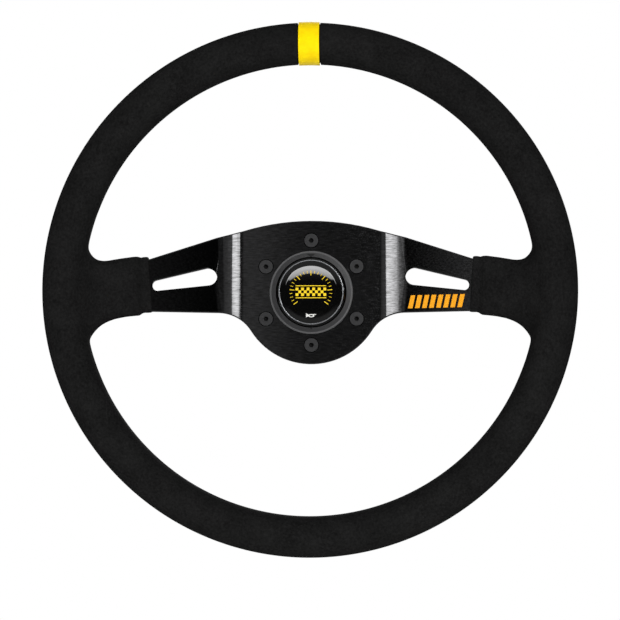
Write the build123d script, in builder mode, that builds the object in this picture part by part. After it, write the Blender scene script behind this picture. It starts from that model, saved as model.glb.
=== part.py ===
"""A two-spoke quick-release rally steering wheel, in millimetres.

The driver is toward -Y, the steering column toward +Y and the top of the wheel toward +Z.
The origin is on the steering axis, where the coupler's pilot bore begins just inside its
mouth. A depth is measured from there toward the driver, so a depth d lies at y = -d.
"""

import os
from math import acos, asin, atan, atan2, cos, degrees, hypot, radians, sin, sqrt, tan

from build123d import *

# --- rim ---------------------------------------------------------------------------------
rim_diameter = 350.0
grip_height = 27.0  # of the oval grip, measured in the plane of the rim
grip_depth = 32.0  # of the oval grip, measured along the steering axis
dish = 36.0  # from the front of the spoke plate up to the middle of the rim
cover_thickness = 1.2
glue_line = 0.1  # between the foam and what is wrapped over it
marker_width = 14.5
marker_stand = 0.3  # how far the marker's leather stands above the suede
marker_seam = 0.35
hoop_width = 16.0
hoop_thickness = 4.0
hoop_inset = 2.0  # the hoop sits this far behind the middle of the grip

# --- spoke plate -------------------------------------------------------------------------
plate_thickness = 4.0
hub_radius = 47.8
crown_height = 48.2  # top edge of the plate above the steering axis
crown_proportion = 1.48  # the crown's radius over the distance from the axis to a hem
spoke_top_at_hem = 21.2
spoke_bottom = 13.6  # lower edge of a spoke below the steering axis
spoke_root_radius = 25.5
tongue_top = 14.0  # of the tongue hidden in the rim, above the steering axis
edge_chamfer = 0.7
hub_bend_inset = 2.8  # the bends start this far inside the hub's outline
hub_bend_radius = 57.0
tongue_bend_radius = 15.0
tongue_bend_clearance = 2.4  # from the end of the outer bend to the hoop
slot_inner = (19.4, 9.9, 6.1)  # outward of the hub, z and radius of a lightening slot's wide end
slot_outer = (-4.6, 3.8, 3.5)  # outward of the hem, z and radius of its narrow end
horn_hole_clearance = 0.1
cutting_margin = 5.0  # how far a cutting shape runs on past the piece

# --- rim and hub fasteners ---------------------------------------------------------------
bolt_circle_diameter = 70.0
bolt_count = 6
screw_radius = 2.5
screw_hole_radius = 2.75
screw_head_radius = 4.6
screw_length = 12.0
screw_socket = 3.0  # across flats
screw_socket_depth = 2.0
countersink_radius = 5.1
thread_clearance = 0.05
rivet_radius = 2.5
rivet_head_radius = 4.5
rivet_head_height = 1.8
rivet_levels = (-8.0, 9.0)  # z of the two rivets in each tongue

# --- padded wraps, where the spokes enter the rim ----------------------------------------
hem_reach = 55.6  # from the hem outward to the middle of the grip
hem_overlap = 0.4
# distance inward of the middle of the grip, thickness, lower and upper edge of each section
pad_sections = (
    (50.5, 10.4, -15.6, 22.9),
    (38.5, 15.0, -17.2, 22.2),
    (27.5, 19.0, -19.8, 20.8),
    (20.0, 21.8, -24.5, 21.4),
    (14.0, 23.6, -32.0, 26.0),
    (4.0, 24.0, -34.0, 28.0),
)

# --- quick-release coupler ---------------------------------------------------------------
bore_radius = 14.0
pilot_length = 12.0
tube_wall = 5.5
mouth_chamfer = 1.0
seal_groove_width = 2.4
seal_groove_height = 1.85
seal_clearance = 0.15
seal_lip = 0.1  # reaches this far into the bore
insert_length = 14.0
insert_step = 2.5  # of the insert's seat, outward of the bore
insert_setback = 6.0  # from the middle of the balls to the insert
spline_count = 24
spline_height = 1.0
spline_clearance = 0.1  # of the bottoms between the splines inside the bore
spline_width = 1.7
insert_clip_thickness = 1.4
insert_clip_groove = 1.0
cavity_clearance = 1.1  # round the skirt of the horn ring
cavity_length = 14.0
floor_thickness = 3.0
housing_wall = 4.0
flange_rim = 7.5  # outward of the middle of the hub screws
flange_thickness = 8.0

# --- ball lock ---------------------------------------------------------------------------
ball_count = 6
ball_radius = 4.0
ball_setback = 8.0  # from the end of the pilot bore to the middle of the balls
ball_protrusion = 2.0  # into the bore when locked
lock_clearance = 0.05
pocket_lip_start = 0.8  # inward of the ball's centre, where its pocket starts to narrow
collar_travel = 8.0
collar_taper = ball_protrusion / collar_travel  # radial rise of the cone per mm of travel
collar_land = 7.5  # length of the collar's sliding fit on the tube
collar_skirt = 4.65  # of the collar, round its spring
collar_wall = 1.7
collar_grip_stand = 2.2
collar_lip_stand = 4.7
collar_lip_width = 6.0
collar_wall_clearance = 0.4
grip_flute_count = 16
grip_flute_radius = 3.2
stop_clip_depth = 3.2
stop_clip_thickness = 1.75
stop_clip_groove = 1.1
stop_washer_thickness = 1.5
stop_washer_width = 6.65
stop_clearance = 0.05
collar_spring_turns = 3.5
collar_spring_gap = 1.2
spring_wire = 1.4
spring_reserve = 0.7  # length left in the closed-up spring at full travel

# --- horn button -------------------------------------------------------------------------
horn_ring_bore = 23.0
horn_ring_width = 4.8
horn_ring_height = 3.6
horn_ring_bevel = 1.2
horn_shoulder_width = 1.6
horn_shoulder_setback = 8.0  # behind the front of the spoke plate
horn_skirt_wall = 1.3
horn_base_thickness = 3.2
horn_base_flange = 1.2
horn_base_clearance = 0.85  # behind the button's lip when the horn is pressed
button_clearance = 0.3
button_stand = 0.9  # of the button's black shoulder above the horn ring
button_lip_clearance = 0.4
button_lip_height = 1.6
button_wall = 2.2
button_travel = 2.5
trim_inset = 1.0
trim_width = 0.8
trim_stand = 0.7
dome_stand = 0.5
dome_crown = 3.2
dome_seat_depth = 1.2
contact_radius = 5.5
contact_thickness = 0.8
contact_clearance = 0.1
horn_spring_turns = 4.0
horn_spring_radius = 14.0
horn_spring_wire = 1.1
terminal_spacing = 8.0
terminal_width = 6.3
terminal_thickness = 0.8
terminal_length = 10.4

# --- worked out from the values above: the coupler, from its mouth to the flange -----------
tube_radius = bore_radius + tube_wall
seal_groove_radius = bore_radius + seal_groove_height
insert_radius = bore_radius + insert_step
spline_major_radius = bore_radius - spline_clearance
spline_minor_radius = spline_major_radius - spline_height
ball_depth = pilot_length + ball_setback
ball_rest_radius = bore_radius - ball_protrusion + ball_radius
pocket_radius = ball_radius + lock_clearance
pocket_lip_radius = sqrt(ball_radius**2 - ball_protrusion**2) + lock_clearance
pocket_taper = 2 * (ball_protrusion - pocket_lip_start)  # runs on past the lip, into the bore
pocket_point_radius = 2 * pocket_lip_radius - pocket_radius
insert_depth = ball_depth + insert_setback
insert_end = insert_depth + insert_length
stop_washer_depth = stop_clip_depth + stop_clip_thickness
stop_washer_radius = tube_radius + lock_clearance + stop_washer_width
collar_stop_depth = stop_washer_depth + stop_washer_thickness + stop_clearance
collar_mouth_depth = stop_clip_depth - lock_clearance
collar_bore = tube_radius + lock_clearance
cone_gap = pocket_radius * sqrt(1 + collar_taper**2)  # from the ball's centre out to the cone
cone_end = ball_depth + (ball_rest_radius + cone_gap - collar_bore) / collar_taper
collar_land_end = cone_end + collar_land
collar_end = collar_land_end + collar_skirt
collar_counterbore = stop_washer_radius + collar_wall_clearance
collar_waist_radius = collar_counterbore + collar_wall
collar_grip_radius = collar_waist_radius + collar_grip_stand
collar_lip_radius = collar_waist_radius + collar_lip_stand
spring_radius = collar_bore + spring_wire + collar_spring_gap
spring_closed = (collar_spring_turns + 1) * spring_wire + spring_reserve
shoulder_depth = collar_land_end + collar_travel + spring_closed
cavity_floor = shoulder_depth + floor_thickness
flange_depth = cavity_floor + cavity_length  # of its front face, which carries the plate
flange_radius = bolt_circle_diameter / 2 + flange_rim

# --- worked out: the spoke plate and the rim ---------------------------------------------
plate_front = flange_depth + plate_thickness
plate_middle = flange_depth + plate_thickness / 2
rim_depth = plate_front + dish
grip_radius = (rim_diameter - grip_height) / 2
hoop_depth = rim_depth - hoop_inset
hoop_inner = grip_radius - hoop_width / 2
tongue_depth = hoop_depth - hoop_thickness / 2 - plate_thickness / 2
tongue_end = grip_radius + hoop_width / 2 - 1.0
hem_start = grip_radius - hem_reach
flat_half_width = hub_radius - hub_bend_inset
crown_radius = crown_proportion * hem_start
crown_centre = crown_height - crown_radius
hem_above_crown_centre = spoke_top_at_hem - crown_centre
hem_angle = atan2(hem_start, hem_above_crown_centre)
shoulder_slope = hem_angle - acos(crown_radius / hypot(hem_start, hem_above_crown_centre))

# --- worked out: the horn button ---------------------------------------------------------
horn_ring_radius = horn_ring_bore + horn_ring_width
horn_ring_front = plate_front + horn_ring_height
horn_shoulder_depth = plate_front - horn_shoulder_setback
horn_skirt_bore = horn_ring_bore + horn_shoulder_width
horn_skirt_radius = horn_skirt_bore + horn_skirt_wall
horn_hole_radius = horn_skirt_radius + horn_hole_clearance
cavity_radius = horn_skirt_radius + cavity_clearance
housing_radius = cavity_radius + housing_wall
button_radius = horn_ring_bore - button_clearance
button_lip_radius = horn_skirt_bore - button_lip_clearance
button_lip_front = horn_shoulder_depth - stop_clearance
button_lip_back = button_lip_front - button_lip_height
button_front = horn_ring_front + button_stand
trim_outer_radius = button_radius - trim_inset
trim_inner_radius = trim_outer_radius - trim_width
horn_base_front = button_lip_back - button_travel - horn_base_clearance
horn_skirt_depth = horn_base_front - horn_base_thickness + horn_base_flange
terminal_end_depth = horn_base_front - terminal_length


seated = (Align.CENTER, Align.CENTER, Align.MIN)


def turn(*outline, mode=Mode.ADD):
    """Turns a closed outline of (radius, depth) points about the steering axis."""
    with BuildSketch(Plane.XY) as section:
        with BuildLine():
            Polyline(*[(radius, -depth) for radius, depth in outline], close=True)
        make_face()
    revolve(section.sketch, axis=Axis.Y, mode=mode)


def disc(radius, start, end, hole=0.0, mode=Mode.ADD):
    """Adds a plain disc or ring between two depths."""
    turn((hole, start), (radius, start), (radius, end), (hole, end), mode=mode)


def finish(part, name):
    """Labels a finished piece and writes it to its file."""
    part.label = name
    export_step(part, f"parts/{name}.step")


os.makedirs("parts", exist_ok=True)

# === spoke plate =========================================================================
# the rising stretch is the straight line tangent to both bends
bend_radii = hub_bend_radius + tongue_bend_radius
spoke_reach = hoop_inner - tongue_bend_clearance - flat_half_width
spoke_height = tongue_depth - plate_middle
rise_length = sqrt(spoke_reach**2 + spoke_height**2 - 2 * bend_radii * spoke_height)
spoke_rise = 2 * atan(spoke_height / (spoke_reach + rise_length))


def spoke_middle(x):
    """The depth of the plate's middle surface at a distance x along a rising spoke."""
    bend_end = flat_half_width + hub_bend_radius * sin(spoke_rise)
    bend_height = hub_bend_radius * (1 - cos(spoke_rise))
    return plate_middle + bend_height + (x - bend_end) * tan(spoke_rise)


def spoke_strip():
    """The bent strip that the plate is cut from, wider than the plate itself."""
    with BuildPart() as strip:
        with BuildSketch(Plane.XY.offset(-crown_height - cutting_margin)):
            with BuildLine():
                flat = Line((0, -plate_middle), (flat_half_width, -plate_middle))
                hub_bend = JernArc(flat @ 1, flat % 1, hub_bend_radius, -degrees(spoke_rise))
                rise = Line(hub_bend @ 1, hub_bend @ 1 + (hub_bend % 1) * rise_length)
                tongue_bend = JernArc(rise @ 1, rise % 1, tongue_bend_radius, degrees(spoke_rise))
                Line(tongue_bend @ 1, (tongue_end + cutting_margin, -tongue_depth))
                mirror(about=Plane.YZ)
                offset(amount=plate_thickness / 2, side=Side.BOTH)
            make_face()
        extrude(amount=2 * (crown_height + cutting_margin))
    return strip.part


shoulder_x = crown_radius * sin(shoulder_slope)
shoulder_z = crown_centre + crown_radius * cos(shoulder_slope)
tongue_start = shoulder_x + (shoulder_z - tongue_top) / tan(shoulder_slope)
root_centre = spoke_bottom + spoke_root_radius
root_reach = hub_radius + spoke_root_radius
root_x = sqrt(root_reach**2 - root_centre**2)
root_touch = (root_x * hub_radius / root_reach, -root_centre * hub_radius / root_reach)
rivet_places = [(side * grip_radius, z) for side in (-1, 1) for z in rivet_levels]

with BuildPart() as spoke_plate:
    with BuildSketch(Plane.XZ) as front_view:
        with BuildLine():
            CenterArc((0, crown_centre), crown_radius, 90, -degrees(shoulder_slope))
            Polyline(
                (shoulder_x, shoulder_z),
                (tongue_start, tongue_top),
                (tongue_end, tongue_top),
                (tongue_end, -spoke_bottom),
                (root_x, -spoke_bottom),
            )
            RadiusArc((root_x, -spoke_bottom), root_touch, -spoke_root_radius)
            hub_sweep = degrees(asin(root_x / root_reach))
            CenterArc((0, 0), hub_radius, -90, hub_sweep)
            mirror(about=Plane.YZ)
        make_face()
        for side in (-1, 1):
            with BuildSketch(mode=Mode.SUBTRACT):
                for start, (reach, z, radius) in ((hub_radius, slot_inner), (hem_start, slot_outer)):
                    with Locations((side * (start + reach), z)):
                        Circle(radius)
                make_hull()
        Circle(horn_hole_radius, mode=Mode.SUBTRACT)
    extrude(amount=rim_depth)
    add(spoke_strip(), mode=Mode.INTERSECT)
    sheet_faces = spoke_plate.faces().filter_by(lambda face: abs(face.normal_at().Y) > 0.5)
    cut_faces = spoke_plate.faces().filter_by(lambda face: abs(face.normal_at().Y) < 0.01)
    bare_edges = set(sheet_faces.edges()) & set(cut_faces.edges())
    chamfer([edge for edge in bare_edges if abs(edge.center().X) < hem_start], edge_chamfer)
    with Locations(Plane.XZ.offset(plate_front)):
        with PolarLocations(bolt_circle_diameter / 2, bolt_count, start_angle=90):
            CounterSinkHole(screw_hole_radius, countersink_radius, counter_sink_angle=90)
    with Locations(Plane.XZ.offset(hoop_depth)):
        with Locations(*rivet_places):
            Hole(rivet_radius)
finish(spoke_plate.part, "spoke_plate")

# === rim core: a flat hoop, lapped over the plate's tongues and riveted to them ============
with BuildPart() as rim_hoop:
    disc(
        hoop_inner + hoop_width,
        hoop_depth - hoop_thickness / 2,
        hoop_depth + hoop_thickness / 2,
        hole=hoop_inner,
    )
    with Locations(Plane.XZ.offset(hoop_depth)):
        with Locations(*rivet_places):
            Hole(rivet_radius)
finish(rim_hoop.part, "rim_hoop")

with BuildPart() as rim_rivets:
    for start, end, radius in (
        (-rivet_head_height, 0, rivet_head_radius),
        (0, plate_thickness + hoop_thickness, rivet_radius),
        (0, rivet_head_height, rivet_head_radius),
    ):
        base = tongue_depth - plate_thickness / 2 + start
        if (start, radius) == (0, rivet_head_radius):
            base += plate_thickness + hoop_thickness
        with BuildSketch(Plane.XZ.offset(base)):
            with Locations(*rivet_places):
                Circle(radius)
        extrude(amount=end - start)
finish(rim_rivets.part, "rim_rivets")


# === padded rim: foam moulded round the hoop, a suede cover and a leather marker ==========
def rim_ring(inset, mode=Mode.ADD):
    """The oval of the grip, turned all round the wheel and inset from its surface."""
    with BuildSketch(Plane.XY) as oval:
        with Locations((grip_radius, -rim_depth)):
            SlotOverall(grip_depth - 2 * inset, grip_height - 2 * inset, rotation=90)
    revolve(oval.sketch, axis=Axis.Y, mode=mode)


def loft_wraps(sections, mode=Mode.ADD):
    """Lofts rounded sections along both spokes: distance, thickness, lower and upper edge."""
    outlines = []
    for inward, thickness, bottom, top in sections:
        x = grip_radius - inward
        with BuildSketch(Plane.YZ.offset(x)) as outline:
            with Locations((-spoke_middle(x), (top + bottom) / 2)):
                RectangleRounded(thickness, top - bottom, 0.45 * thickness)
        outlines.append(outline.sketch)
    wrap = loft(outlines, mode=Mode.PRIVATE)
    add([wrap, mirror(wrap, about=Plane.YZ, mode=Mode.PRIVATE)], mode=mode)


def padding(inset, mode=Mode.ADD):
    """The swelling form that runs from the hem of each spoke into the grip."""
    loft_wraps(
        [
            (inward, thickness - 2 * inset, bottom + inset, top - inset)
            for inward, thickness, bottom, top in pad_sections
        ],
        mode=mode,
    )


with BuildPart() as rim_foam:
    rim_ring(cover_thickness + glue_line)
    padding(cover_thickness + glue_line)
    add([spoke_plate.part, rim_hoop.part, rim_rivets.part], mode=Mode.SUBTRACT)
finish(rim_foam.part, "rim_foam")

hem_thickness = plate_thickness / cos(spoke_rise) + 2 * cover_thickness
hem_bottom, hem_top = -spoke_bottom - cover_thickness, spoke_top_at_hem + cover_thickness
hem_end = pad_sections[0][0] - hem_overlap
with BuildPart() as suede_cover:
    rim_ring(0)
    padding(0)
    loft_wraps([(inward, hem_thickness, hem_bottom, hem_top) for inward in (hem_reach, hem_end)])
    rim_ring(cover_thickness, mode=Mode.SUBTRACT)
    padding(cover_thickness, mode=Mode.SUBTRACT)
    add(spoke_plate.part, mode=Mode.SUBTRACT)
    with Locations((0, -rim_depth, grip_radius)):
        Box(
            marker_width + 2 * marker_seam,
            grip_depth,
            grip_height + 2 * cutting_margin,
            mode=Mode.SUBTRACT,
        )
finish(suede_cover.part, "suede_cover")

with BuildPart() as centre_marker:
    rim_ring(-marker_stand)
    rim_ring(cover_thickness, mode=Mode.SUBTRACT)
    with Locations((0, -rim_depth, grip_radius)):
        Box(marker_width, 2 * grip_depth, grip_height + 2 * cutting_margin, mode=Mode.INTERSECT)
finish(centre_marker.part, "centre_marker")

# === hub screws: countersunk, hexagon socket ==============================================
head_height = screw_head_radius - screw_radius
with BuildPart() as hub_screws:
    with BuildSketch(Plane.XY) as profile:
        with BuildLine():
            Polyline(
                (0, -plate_front),
                (screw_head_radius, -plate_front),
                (screw_radius, -plate_front + head_height),
                (screw_radius, -plate_front + screw_length),
                (0, -plate_front + screw_length),
                close=True,
            )
        make_face()
    screw = revolve(profile.sketch, axis=Axis.Y, mode=Mode.PRIVATE)
    with BuildSketch(Plane.XZ.offset(plate_front - screw_socket_depth)) as socket:
        RegularPolygon(screw_socket / 2, 6, major_radius=False)
    screw -= extrude(socket.sketch, amount=screw_socket_depth, mode=Mode.PRIVATE)
    for turn_angle in range(bolt_count):
        add(screw.moved(Pos(0, 0, bolt_circle_diameter / 2)).rotate(Axis.Y, turn_angle * 360 / bolt_count))
finish(hub_screws.part, "hub_screws")

# === coupler body: steel tube and flange, carried by the six hub screws ===================
seal_groove_end = pilot_length + seal_groove_width
insert_clip_end = insert_end + insert_clip_thickness
flange_back = flange_depth - flange_thickness
with BuildPart() as coupler_body:
    turn(
        (bore_radius + mouth_chamfer, -mouth_chamfer),
        (tube_radius - mouth_chamfer, -mouth_chamfer),
        (tube_radius, 0),
        (tube_radius, stop_clip_depth),
        (tube_radius - stop_clip_groove, stop_clip_depth),
        (tube_radius - stop_clip_groove, stop_washer_depth),
        (tube_radius, stop_washer_depth),
        (tube_radius, shoulder_depth),
        (housing_radius, shoulder_depth),
        (housing_radius, flange_back),
        (flange_radius - mouth_chamfer, flange_back),
        (flange_radius, flange_back + mouth_chamfer),
        (flange_radius, flange_depth),
        (cavity_radius, flange_depth),
        (cavity_radius, cavity_floor),
        (insert_radius, cavity_floor),
        (insert_radius, insert_clip_end),
        (insert_radius + insert_clip_groove, insert_clip_end),
        (insert_radius + insert_clip_groove, insert_end),
        (insert_radius, insert_end),
        (insert_radius, insert_depth),
        (bore_radius, insert_depth),
        (bore_radius, seal_groove_end),
        (seal_groove_radius, seal_groove_end),
        (seal_groove_radius, pilot_length),
        (bore_radius, pilot_length),
        (bore_radius, 0),
    )
    with Locations(Plane.XZ.offset(ball_depth)):
        with PolarLocations(ball_rest_radius, ball_count, start_angle=90):
            with Locations(Location((-pocket_lip_start, 0, 0), (0, 90, 0))):
                Cylinder(pocket_radius, tube_radius, align=seated, mode=Mode.SUBTRACT)
            with Locations(Location((-pocket_lip_start, 0, 0), (0, -90, 0))):
                Cone(pocket_radius, pocket_point_radius, pocket_taper, mode=Mode.SUBTRACT,
                     align=seated)
    with Locations(Plane.XZ.offset(flange_depth)):
        with PolarLocations(bolt_circle_diameter / 2, bolt_count, start_angle=90):
            Hole(screw_radius + thread_clearance, depth=flange_thickness)
finish(coupler_body.part, "coupler_body")

# === spline insert and the internal clip that keeps it in its bore ========================
with BuildPart() as spline_insert:
    with BuildSketch(Plane.XZ.offset(insert_depth)):
        Circle(insert_radius)
        Circle(spline_minor_radius, mode=Mode.SUBTRACT)
        with PolarLocations(spline_minor_radius, spline_count):
            Rectangle(2 * spline_height, spline_width, mode=Mode.SUBTRACT)
    extrude(amount=insert_length)
finish(spline_insert.part, "spline_insert")


def snap_ring(groove_radius, width, thickness, start, outward):
    """A sprung ring with a gap and two plier eyes; outward is -1 for a ring inside a bore."""
    free_edge = groove_radius + outward * width
    eye = (groove_radius + outward * width * 1.1, 2.2)
    with BuildPart() as ring:
        with BuildSketch(Plane.XZ.offset(start)):
            Circle(max(groove_radius, free_edge))
            Circle(min(groove_radius, free_edge), mode=Mode.SUBTRACT)
            with Locations((-eye[0], eye[1]), (-eye[0], -eye[1])):
                Circle(width * 0.75)
            Circle(groove_radius, mode=Mode.SUBTRACT if outward > 0 else Mode.INTERSECT)
            with Locations((-groove_radius, 0)):
                Rectangle(3 * width, 1.6, mode=Mode.SUBTRACT)
            with Locations((-eye[0], eye[1]), (-eye[0], -eye[1])):
                Circle(width * 0.35, mode=Mode.SUBTRACT)
        extrude(amount=thickness)
    return ring.part


insert_clip = snap_ring(insert_radius + insert_clip_groove, 2.2, insert_clip_thickness, insert_end, -1)
finish(insert_clip, "insert_clip")

with BuildPart() as bore_seal:
    turn(
        (seal_groove_radius, pilot_length + seal_clearance),
        (bore_radius + seal_clearance, pilot_length + seal_clearance),
        (bore_radius - seal_lip, (pilot_length + seal_groove_end) / 2),
        (bore_radius + seal_clearance, seal_groove_end - seal_clearance),
        (seal_groove_radius, seal_groove_end - seal_clearance),
    )
finish(bore_seal.part, "bore_seal")

# === release collar and its stop ==========================================================
stop_clip = snap_ring(tube_radius - stop_clip_groove, 3.6, stop_clip_thickness, stop_clip_depth, 1)
finish(stop_clip, "stop_clip")

with BuildPart() as stop_washer:
    disc(
        stop_washer_radius,
        stop_washer_depth,
        stop_washer_depth + stop_washer_thickness,
        hole=collar_bore,
    )
finish(stop_washer.part, "stop_washer")


def cone_radius(depth):
    """The collar's inner cone, which holds the balls in and lets them out as it slides."""
    return ball_rest_radius + cone_gap + collar_taper * (ball_depth - depth)


collar_spring_bore = spring_radius + spring_wire
collar_waist_start = collar_mouth_depth + collar_lip_width
collar_waist_end = collar_end - 3 * collar_lip_width / 2
with BuildPart() as release_collar:
    turn(
        (collar_counterbore, collar_mouth_depth),
        (collar_lip_radius - 1, collar_mouth_depth),
        (collar_lip_radius, collar_mouth_depth + 1),
        (collar_lip_radius, collar_waist_start),
        (collar_waist_radius, collar_waist_start + 3),
        (collar_waist_radius, collar_waist_end),
        (collar_grip_radius, collar_waist_end + 1),
        (collar_grip_radius, collar_end - 1),
        (collar_grip_radius - 1, collar_end),
        (collar_spring_bore, collar_end),
        (collar_spring_bore, collar_land_end),
        (collar_bore, collar_land_end),
        (collar_bore, cone_end),
        (cone_radius(collar_stop_depth), collar_stop_depth),
        (collar_counterbore, collar_stop_depth),
    )
    with Locations(Plane.XZ.offset(collar_mouth_depth)):
        with PolarLocations(collar_lip_radius + grip_flute_radius / 2, grip_flute_count):
            Cylinder(
                grip_flute_radius, collar_lip_width + cutting_margin, align=seated, mode=Mode.SUBTRACT
            )
finish(release_collar.part, "release_collar")


def coil(radius, wire, start, end, turns):
    """A compression spring of square wire, seated just clear of two depths."""
    height = end - start - wire - 4 * lock_clearance
    base = start + wire / 2 + 2 * lock_clearance
    with BuildPart() as spring:
        with BuildLine() as path:
            Helix(height / turns, height, radius, center=(0, -base, 0), direction=(0, -1, 0))
        with BuildSketch(Plane(path.line @ 0, x_dir=(0, 1, 0), z_dir=path.line % 0)):
            Rectangle(wire, wire)
        sweep(is_frenet=True)
    return spring.part


finish(
    coil(spring_radius, spring_wire, collar_land_end, shoulder_depth, collar_spring_turns),
    "collar_spring",
)

# === lock balls ===========================================================================
for number in range(ball_count):
    with BuildPart() as lock_ball:
        with Locations(Plane.XZ.offset(ball_depth)):
            with PolarLocations(ball_rest_radius, 1, start_angle=90 - number * 360 / ball_count):
                Sphere(ball_radius)
    finish(lock_ball.part, f"lock_ball_{number + 1}")

# === horn ring, pressed into the plate's centre hole, and the base clipped into its skirt ==
with BuildPart() as horn_ring:
    turn(
        (horn_ring_bore, horn_ring_front),
        (horn_ring_radius - horn_ring_bevel, horn_ring_front),
        (horn_ring_radius - horn_ring_bevel / 4, horn_ring_front - horn_ring_bevel / 2),
        (horn_ring_radius, horn_ring_front - horn_ring_bevel),
        (horn_ring_radius, plate_front),
        (horn_skirt_radius, plate_front),
        (horn_skirt_radius, horn_skirt_depth),
        (horn_skirt_bore, horn_skirt_depth),
        (horn_skirt_bore, horn_shoulder_depth),
        (horn_ring_bore, horn_shoulder_depth),
    )
finish(horn_ring.part, "horn_ring")

terminal_places = [(x, 0) for x in (-terminal_spacing, terminal_spacing)]
horn_base_back = horn_skirt_depth - horn_base_flange
with BuildPart() as horn_base:
    disc(horn_skirt_radius, horn_base_back, horn_skirt_depth)
    disc(horn_skirt_bore, horn_skirt_depth, horn_base_front)
    with BuildSketch(Plane.XZ.offset(horn_base_back)):
        with Locations(*terminal_places):
            Rectangle(terminal_thickness, terminal_width)
    extrude(amount=horn_base_thickness, mode=Mode.SUBTRACT)
finish(horn_base.part, "horn_base")

with BuildPart() as horn_terminals:
    with BuildSketch(Plane.XZ.offset(terminal_end_depth)):
        with Locations(*terminal_places):
            Rectangle(terminal_thickness, terminal_width)
    extrude(amount=horn_base_front - terminal_end_depth)
finish(horn_terminals.part, "horn_terminals")

fixed_contact_front = horn_base_front + contact_thickness
moving_contact_back = fixed_contact_front + button_travel + contact_clearance
with BuildPart() as fixed_contact:
    disc(terminal_spacing + 1.5, horn_base_front, fixed_contact_front)
finish(fixed_contact.part, "fixed_contact")

# === horn button, which slides in the ring's bore and is pushed out by its spring =========
button_roof = button_front - dome_seat_depth - button_wall
with BuildPart() as button_cap:
    turn(
        (0, button_front - dome_seat_depth),
        (trim_outer_radius, button_front - dome_seat_depth),
        (trim_outer_radius, button_front),
        (button_radius - 0.5, button_front),
        (button_radius, button_front - 0.5),
        (button_radius, button_lip_front),
        (button_lip_radius, button_lip_front),
        (button_lip_radius, button_lip_back),
        (button_radius - button_wall, button_lip_back),
        (button_radius - button_wall, button_roof),
        (contact_radius, button_roof),
        (contact_radius, moving_contact_back + contact_thickness),
        (0, moving_contact_back + contact_thickness),
    )
finish(button_cap.part, "button_cap")

with BuildPart() as button_trim:
    disc(
        trim_outer_radius,
        button_front - dome_seat_depth,
        button_front + trim_stand,
        hole=trim_inner_radius,
    )
finish(button_trim.part, "button_trim")

dome_edge = button_front + dome_stand
dome_radius = (trim_inner_radius**2 + dome_crown**2) / (2 * dome_crown)
with BuildPart() as button_dome:
    with BuildSketch(Plane.XY):
        with BuildLine():
            Polyline(
                (0, -dome_edge - dome_crown),
                (0, -button_front + dome_seat_depth),
                (trim_inner_radius, -button_front + dome_seat_depth),
                (trim_inner_radius, -dome_edge),
            )
            RadiusArc((trim_inner_radius, -dome_edge), (0, -dome_edge - dome_crown), dome_radius)
        make_face()
    revolve(axis=Axis.Y)
finish(button_dome.part, "button_dome")

with BuildPart() as contact_disc:
    disc(contact_radius, moving_contact_back, moving_contact_back + contact_thickness)
finish(contact_disc.part, "contact_disc")

finish(
    coil(horn_spring_radius, horn_spring_wire, horn_base_front, button_roof, horn_spring_turns),
    "horn_spring",
)
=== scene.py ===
"""A two-spoke rally steering wheel with a quick-release coupler, dressed over its CAD frame.

The frame is in metres: the driver is toward -Y, the steering column toward +Y, the top of
the wheel toward +Z, and the origin is on the steering axis in the coupler's mouth. Sizes are
given in millimetres, and a depth is a distance from the coupler's mouth toward the driver.
"""

from math import atan2, cos, hypot, pi, radians, sin, sqrt

import bpy
from mathutils import Matrix, Vector


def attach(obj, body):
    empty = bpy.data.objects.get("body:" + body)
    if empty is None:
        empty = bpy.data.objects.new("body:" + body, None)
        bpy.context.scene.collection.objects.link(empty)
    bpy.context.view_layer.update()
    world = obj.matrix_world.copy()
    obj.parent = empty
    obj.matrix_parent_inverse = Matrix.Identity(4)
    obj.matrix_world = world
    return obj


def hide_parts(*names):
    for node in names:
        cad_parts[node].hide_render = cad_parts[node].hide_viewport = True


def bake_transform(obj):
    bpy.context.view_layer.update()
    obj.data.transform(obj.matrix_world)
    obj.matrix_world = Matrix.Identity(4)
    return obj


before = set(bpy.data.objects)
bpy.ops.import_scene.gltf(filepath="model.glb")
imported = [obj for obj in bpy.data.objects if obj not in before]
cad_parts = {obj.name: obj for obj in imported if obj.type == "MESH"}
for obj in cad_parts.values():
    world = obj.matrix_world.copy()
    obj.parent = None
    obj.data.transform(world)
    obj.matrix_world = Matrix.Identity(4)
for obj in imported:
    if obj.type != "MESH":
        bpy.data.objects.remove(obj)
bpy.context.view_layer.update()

# === coupler body =========================================================================
# The steel tube and flange that carry the wheel. It is turned from bar and left with a fine
# lathe finish under a phosphate black, so it is dark, a little oily and duller in the pores.
MM = 0.001
NOISE_LOW, NOISE_HIGH = 0.3, 0.7  # most of a noise's values lie between these
SHARP_EDGE, CREASE = radians(35), radians(32)


def linear(code):
    """Turns an sRGB hex colour into the linear values that a shader takes."""
    parts = [int(code[i:i + 2], 16) / 255 for i in (1, 3, 5)]
    return [c / 12.92 if c <= 0.04045 else ((c + 0.055) / 1.055) ** 2.4 for c in parts] + [1.0]


def add_node(material, kind, values=None, links=None, **settings):
    """Adds a node to a material with its settings, its socket values and what feeds it."""
    node = material.node_tree.nodes.new(kind)
    for name, value in settings.items():
        setattr(node, name, value)
    for name, value in (values or {}).items():
        node.inputs[name].default_value = value
    for name, socket in (links or {}).items():
        material.node_tree.links.new(socket, node.inputs[name])
    return node


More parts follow.
